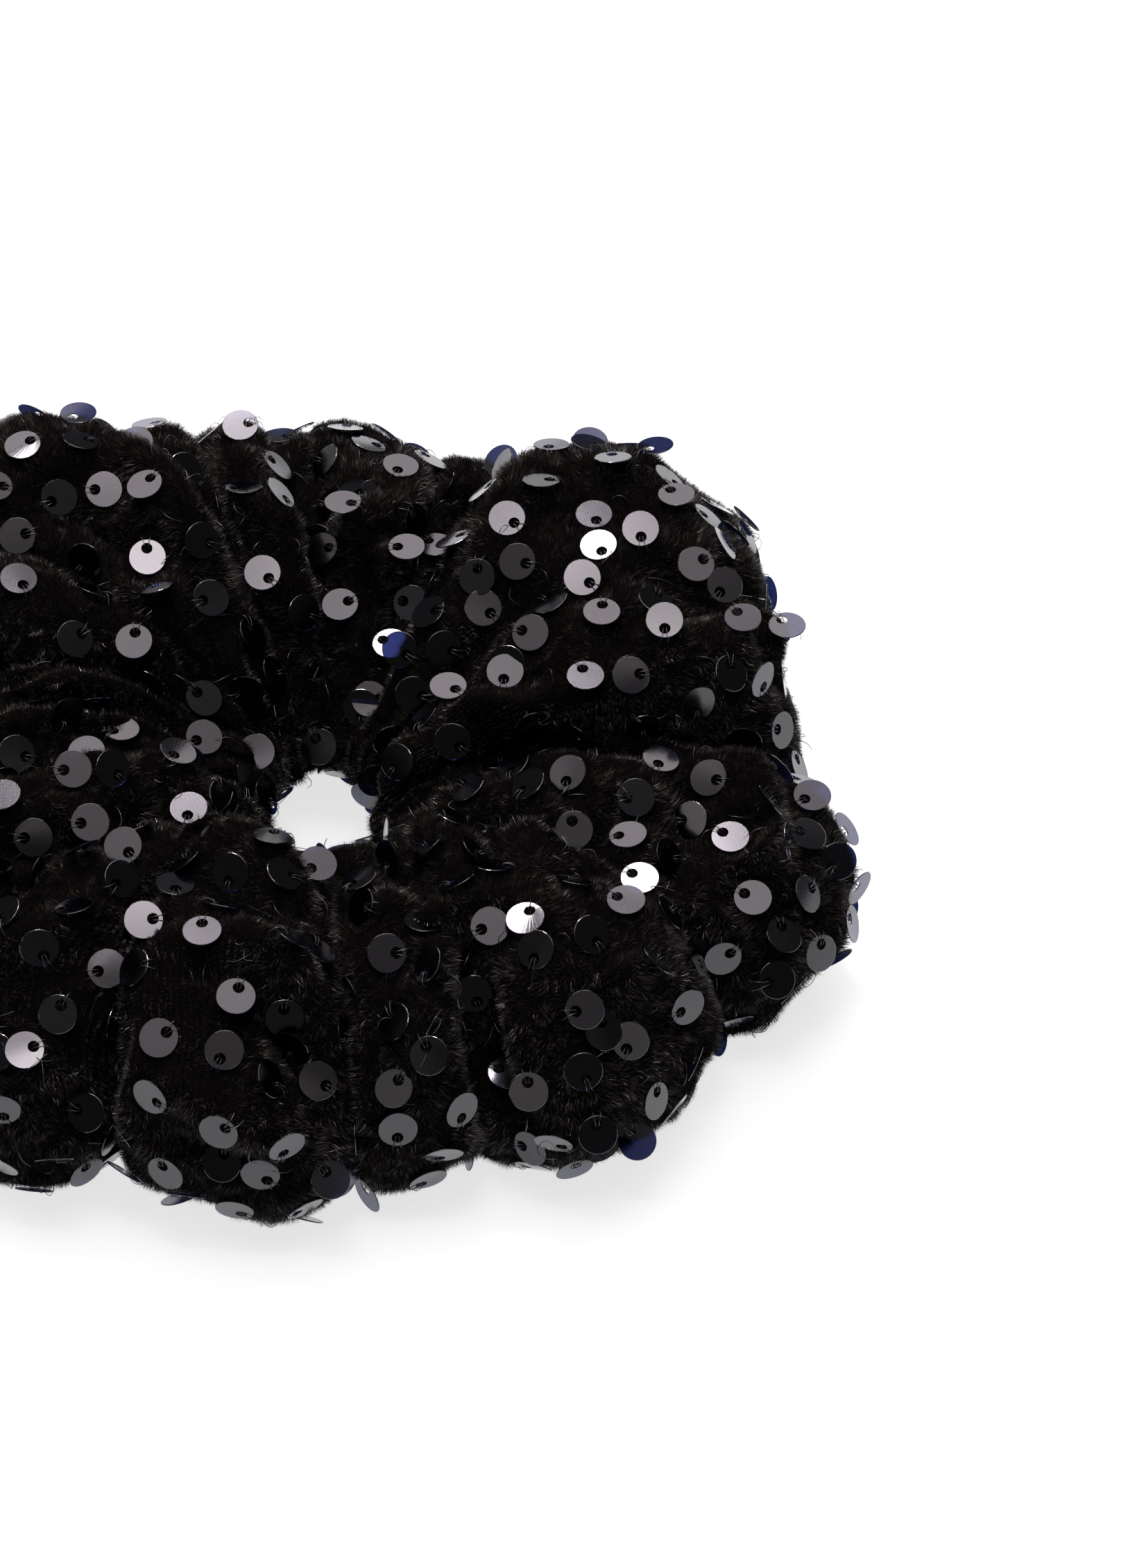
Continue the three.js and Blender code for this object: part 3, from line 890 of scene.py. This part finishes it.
def loose_strands(grid, count):
    """Short curved ends and floats of the sewing thread that stand out of the pile."""
    points, normals, around, rng = casing_samples(grid, count, 63)
    paths = []
    for point, normal, forward in zip(points, normals, around):
        turn = rng.uniform(0, 2 * np.pi)
        sideways = np.cross(normal, forward)
        way = forward * math.cos(turn) + sideways * math.sin(turn)
        beside = np.cross(normal, way)
        length = rng.uniform(1.6, 4.2)
        bow = rng.uniform(-0.9, 0.9)
        rise = rng.uniform(0.7, 1.5)
        corners = [
            point - normal * 0.2,
            point + way * length * 0.3 + normal * rise * 0.8 + beside * bow * 0.6,
            point + way * length * 0.65 + normal * rise + beside * bow,
            point + way * length + normal * rng.uniform(-0.3, 0.9) * rise + beside * bow * 0.3,
        ]
        paths.append(smooth_path(corners, 9))
    return above_floor(np.array(paths))


# ---- inside the casing ----
ELASTIC_CORDS = 7
ELASTIC_PICKS = 1.4
ELASTIC_RELIEF = 0.14
END_PINCH = 0.02
TACK_STITCHES = 7
TACK_MARGIN = 0.15
SEAM_VOXEL = 0.4


def ring_extent(name):
    """The part of a ring that a CAD node fills: middle, reach in degrees, radii and heights."""
    points = node_points(name)
    middle = math.degrees(math.atan2(points[:, 1].mean(), points[:, 0].mean()))
    turn = (np.degrees(np.arctan2(points[:, 1], points[:, 0])) - middle + 180) % 360 - 180
    radius = np.hypot(points[:, 0], points[:, 1])
    heights = points[:, 2]
    return middle, np.abs(turn).max(), radius.min(), radius.max(), heights.min(), heights.max()


def woven_elastic(node, material):
    """Flat woven elastic in the place of its CAD node: cords along it, weft across it, ends pinched shut."""
    middle, reach, inner, outer, low, high = ring_extent(node)
    whole = reach > 170
    count = int(reach * ELASTIC_PICKS)
    turns = np.radians(middle + np.linspace(-reach, reach, count, endpoint=not whole))
    across = np.linspace(0, 1, ELASTIC_CORDS * 4 + 1)
    cord = np.abs(np.sin(across * ELASTIC_CORDS * np.pi))
    weft = 0.75 + 0.25 * np.where(np.arange(count) % 2, 1.0, -1.0)[:, None]
    sunk = ELASTIC_RELIEF * (1 - cord * weft)
    height = low + (high - low) * np.concatenate([across, across[::-1]])
    radius = np.concatenate([outer - sunk, inner + sunk[:, ::-1]], 1)
    height = np.broadcast_to(height, radius.shape).copy()
    if not whole:
        for end in (0, -1):
            radius[end] = (inner + outer) / 2 + END_PINCH * (radius[end] - (inner + outer) / 2)
    points = np.stack([radius * np.cos(turns)[:, None], radius * np.sin(turns)[:, None], height], -1)
    faces = grid_faces(*radius.shape)
    if not whole:
        faces = faces.reshape(count, -1, 4)[:-1].reshape(-1, 4)
    piece = make_mesh(node + "_woven", points.reshape(-1, 3), faces, material, smooth=True)
    blend_halves(piece)
    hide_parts(node)


def bar_tack(node, material):
    """A row of close zigzag stitches in the place of a CAD stitch."""
    middle, reach, inner, outer, low, high = ring_extent(node)
    steps = np.arange(TACK_STITCHES * 2 + 1)
    turn = np.radians(middle + reach * 0.85 * np.where(steps % 2, 1.0, -1.0))
    radius = np.full(len(steps), (inner + outer) / 2)
    height = np.linspace(low + TACK_MARGIN, high - TACK_MARGIN, len(steps))
    corners = np.column_stack([radius * np.cos(turn), radius * np.sin(turn), height])
    points, faces = strand_mesh(smooth_path(corners, len(steps) * 6)[None], (outer - inner) * 0.42, 6)
    piece = make_mesh(node + "_zigzag", points, faces, material, smooth=True)
    blend_halves(piece)
    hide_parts(node)


def raw_seam(node, material):
    """The two raw edges of a seam allowance, ruffled and frayed, in the place of the CAD strip."""
    copy = add_object(node + "_shape", frame["nodes"][node].data.copy())
    remesh = copy.modifiers.new("fine", "REMESH")
    remesh.mode = "VOXEL"
    remesh.voxel_size = SEAM_VOXEL * MM
    shaped = copy.evaluated_get(bpy.context.evaluated_depsgraph_get()).to_mesh()
    points = (mesh_points(shaped) - MIDDLE) / MM
    normals = np.zeros(len(shaped.vertices) * 3)
    shaped.vertex_normals.foreach_get("vector", normals)
    faces = np.array([face.vertices[:] for face in shaped.polygons])
    ruffle = 0.16 * waves(points, 5, 61) + 0.07 * waves(points, 0.9, 62)
    points = points + normals.reshape(-1, 3) * ruffle[:, None]
    bpy.data.objects.remove(copy)
    piece = make_mesh(node + "_raw_edges", points, faces, material, smooth=True)
    blend_halves(piece)
    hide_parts(node)


# ---- casing, sequins and threads as pieces ----
def velvet_casing(grid):
    """The velvet, closed all the way round: its outer face, and a coarser inner face within it."""
    rows, columns = grid.shape[:2]
    lining = (grid - CLOTH_THICKNESS * grid_normals(soften(grid, 2)))[::2, ::2]
    lining[..., 2] = np.maximum(lining[..., 2], FLOOR_CLEARANCE)
    points = np.concatenate([grid.reshape(-1, 3), lining.reshape(-1, 3)])
    outer_faces = grid_faces(rows, columns)
    inner_faces = grid_faces(*lining.shape[:2])[:, ::-1] + rows * columns
    dark, light = (0.0006, 0.0005, 0.0004), (0.003, 0.0026, 0.0022)
    ground = mottled_material("velvet_ground", dark, light, 0.9, 900, 0.0004, 0.02)
    faces = np.concatenate([outer_faces, inner_faces])
    casing = make_mesh("velvet_casing", points, faces, ground, smooth=True)
    blend_halves(casing)
    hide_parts("casing_left", "casing_right")
    return casing


def modelled_sequins():
    """The CAD model's sequins as film. Returns the bodies that the free ones turn with, by number."""
    loose_bodies = {}
    for number, (node, seat) in enumerate(zip(sequin_nodes, cad_seats)):
        form, faces = sequin_form(40)
        piece = make_mesh(node + "_film", placed(form, *seat), faces, film)
        body = frame["nodes"][node]["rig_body"]
        if body in ("left_half", "right_half"):
            blend_halves(piece)
        else:
            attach(piece, body)
            loose_bodies[number] = body
        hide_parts(node)
    return loose_bodies


def sewing_threads(seats, loose_bodies):
    """The strands through the sequins: one piece, and one for each free sequin, which turns with it."""
    paths, owners = thread_paths(seats)
    held = ~np.isin(owners, list(loose_bodies))
    threads = thread_piece("sequin_threads", paths[held])
    blend_halves(threads)
    for number, body in loose_bodies.items():
        thread = thread_piece(sequin_nodes[number] + "_thread", paths[owners == number])
        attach(thread, body)


def thread_floats(grid):
    floats = loose_strands(grid, LOOSE_FLOATS)
    ends = thread_piece("loose_thread_floats", floats)
    blend_halves(ends)


film = plain_material("sequin_film", (0.012, 0.019, 0.075), 0.13, Transmission_Weight=1.0, IOR=1.65)
monofilament = plain_material("sewing_thread", (0.02, 0.02, 0.022), 0.22, Specular_IOR_Level=0.8)
sequin_nodes = sorted(n for n in frame["nodes"] if n.startswith("sequin_"))
cad_seats = [cad_sequin(node) for node in sequin_nodes]
grid = lay_under_sequins(sculpted_casing(), cad_seats)
grid[..., 2] = np.maximum(grid[..., 2], FLOOR_CLEARANCE)
scattered = scattered_sequins(grid, velvet_tree(grid), cad_seats)
all_seats = cad_seats + scattered
pile(grid, FIBRES, all_seats)
casing = velvet_casing(grid)
sequin_pieces(scattered)
sewing_threads(all_seats, modelled_sequins())
thread_floats(grid)

elastic = mottled_material("woven_elastic", (0.006, 0.006, 0.007), (0.022, 0.022, 0.024), 0.6, 2500, 0.0001)
for node in ("elastic_band", "elastic_overlap_tail"):
    woven_elastic(node, elastic)
for node in ("elastic_stitch_back", "elastic_stitch_front"):
    bar_tack(node, monofilament)
dark_back, light_back = (0.004, 0.0036, 0.0034), (0.018, 0.016, 0.015)
knit_back = mottled_material("velvet_back", dark_back, light_back, 0.85, 1800, 0.00015)
for node in ("long_seam_left", "long_seam_right", "closing_seam"):
    raw_seam(node, knit_back)

# ---- stage ----
FLOOR_GLOW = 0.74
CEILING_STRENGTH = 3.0
LENS = 132.41
CAMERA_PLACE = (0, -0.54447, 0.55947)
CAMERA_AIM = (0.04305, 0.70850, -0.70439)


def floor():
    mesh = bpy.data.meshes.new("floor")
    mesh.from_pydata([(-4, -4, 0), (4, -4, 0), (4, 4, 0), (-4, 4, 0)], [], [(0, 1, 2, 3)])
    made = add_object("floor", mesh)
    white = plain_material("floor_white", (0.42, 0.45, 0.45), 0.9)
    shader = white.node_tree.nodes["Principled BSDF"]
    shader.inputs["Emission Color"].default_value = (1, 1, 1, 1)
    shader.inputs["Emission Strength"].default_value = FLOOR_GLOW
    mesh.materials.append(white)


def panel(name, place, aim, width, height, strength, colour=(1, 0.9, 0.93)):
    """A rectangular soft light. Its strength is how bright its face is, whatever its size."""
    light = bpy.data.lights.new(name, "AREA")
    light.shape = "RECTANGLE"
    light.size, light.size_y = width, height
    light.energy = strength * width * height * math.pi
    light.color = colour
    made = add_object(name, light)
    made.location = place
    made.rotation_mode = "QUATERNION"
    made.rotation_quaternion = (Vector(aim) - Vector(place)).to_track_quat("-Z", "Y")


def around_ring(compass, elevation, distance):
    """The place that far from the ring's middle in a direction."""
    return Vector(MIDDLE) + Vector(facing(compass, elevation)) * distance


OVERHEAD = unit(np.array([-0.06, 0.1, 1.0]))
# The studio's ceiling brightens towards the point overhead: the share of the way up, and its colour.
OVERHEAD_GLOW = [
    (0.60, (0.02, 0.019, 0.019, 1)),
    (0.74, (0.08, 0.073, 0.076, 1)),
    (0.84, (0.28, 0.25, 0.26, 1)),
    (0.94, (0.64, 0.575, 0.595, 1)),
    (1.00, (1.00, 0.90, 0.93, 1)),
]


def lights():
    aim = Vector(MIDDLE) + Vector((0, 0, 0.02))
    panel("softbox_middle", around_ring(270, 79, 0.9), aim, 0.5, 0.22, 1.2)
    panel("softbox_core", around_ring(266, 77, 0.88), aim, 0.2, 0.13, 10)
    panel("back_panel", around_ring(95, 42, 1.2), aim, 1.3, 0.5, 2.6)
    panel("back_key", around_ring(100, 62, 1.0), aim, 0.3, 0.18, 40)
    panel("side_panel", around_ring(185, 24, 1.3), aim, 0.7, 0.5, 1.2)
    world = bpy.data.worlds.new("studio")
    bpy.context.scene.world = world
    world.use_nodes = True
    nodes, links = world.node_tree.nodes, world.node_tree.links
    nodes.clear()
    output = nodes.new("ShaderNodeOutputWorld")
    seen = nodes.new("ShaderNodeBackground")
    seen.inputs["Color"].default_value = (1, 1, 1, 1)
    way = nodes.new("ShaderNodeTexCoord")
    height = nodes.new("ShaderNodeVectorMath")
    height.operation = "DOT_PRODUCT"
    height.inputs[1].default_value = OVERHEAD
    links.new(way.outputs["Generated"], height.inputs[0])
    ramp = nodes.new("ShaderNodeValToRGB")
    ramp.color_ramp.elements[0].position, ramp.color_ramp.elements[0].color = OVERHEAD_GLOW[0]
    ramp.color_ramp.elements[1].position, ramp.color_ramp.elements[1].color = OVERHEAD_GLOW[-1]
    for position, colour in OVERHEAD_GLOW[1:-1]:
        ramp.color_ramp.elements.new(position).color = colour
    links.new(height.outputs["Value"], ramp.inputs["Fac"])
    lit = nodes.new("ShaderNodeBackground")
    lit.inputs["Strength"].default_value = CEILING_STRENGTH
    links.new(ramp.outputs["Color"], lit.inputs["Color"])
    mix = nodes.new("ShaderNodeMixShader")
    path = nodes.new("ShaderNodeLightPath")
    links.new(path.outputs["Is Camera Ray"], mix.inputs["Fac"])
    links.new(lit.outputs["Background"], mix.inputs[1])
    links.new(seen.outputs["Background"], mix.inputs[2])
    links.new(mix.outputs["Shader"], output.inputs["Surface"])


def camera():
    data = bpy.data.cameras.new("camera")
    data.lens = LENS
    data.sensor_width = 36
    made = add_object("camera", data)
    made.location = Vector(MIDDLE) + Vector(CAMERA_PLACE)
    made.rotation_mode = "QUATERNION"
    made.rotation_quaternion = Vector(CAMERA_AIM).to_track_quat("-Z", "Y")
    data.clip_start, data.clip_end = 0.01, 20
    bpy.context.scene.camera = made


floor()
lights()
camera()
bpy.context.scene.view_settings.view_transform = "Standard"
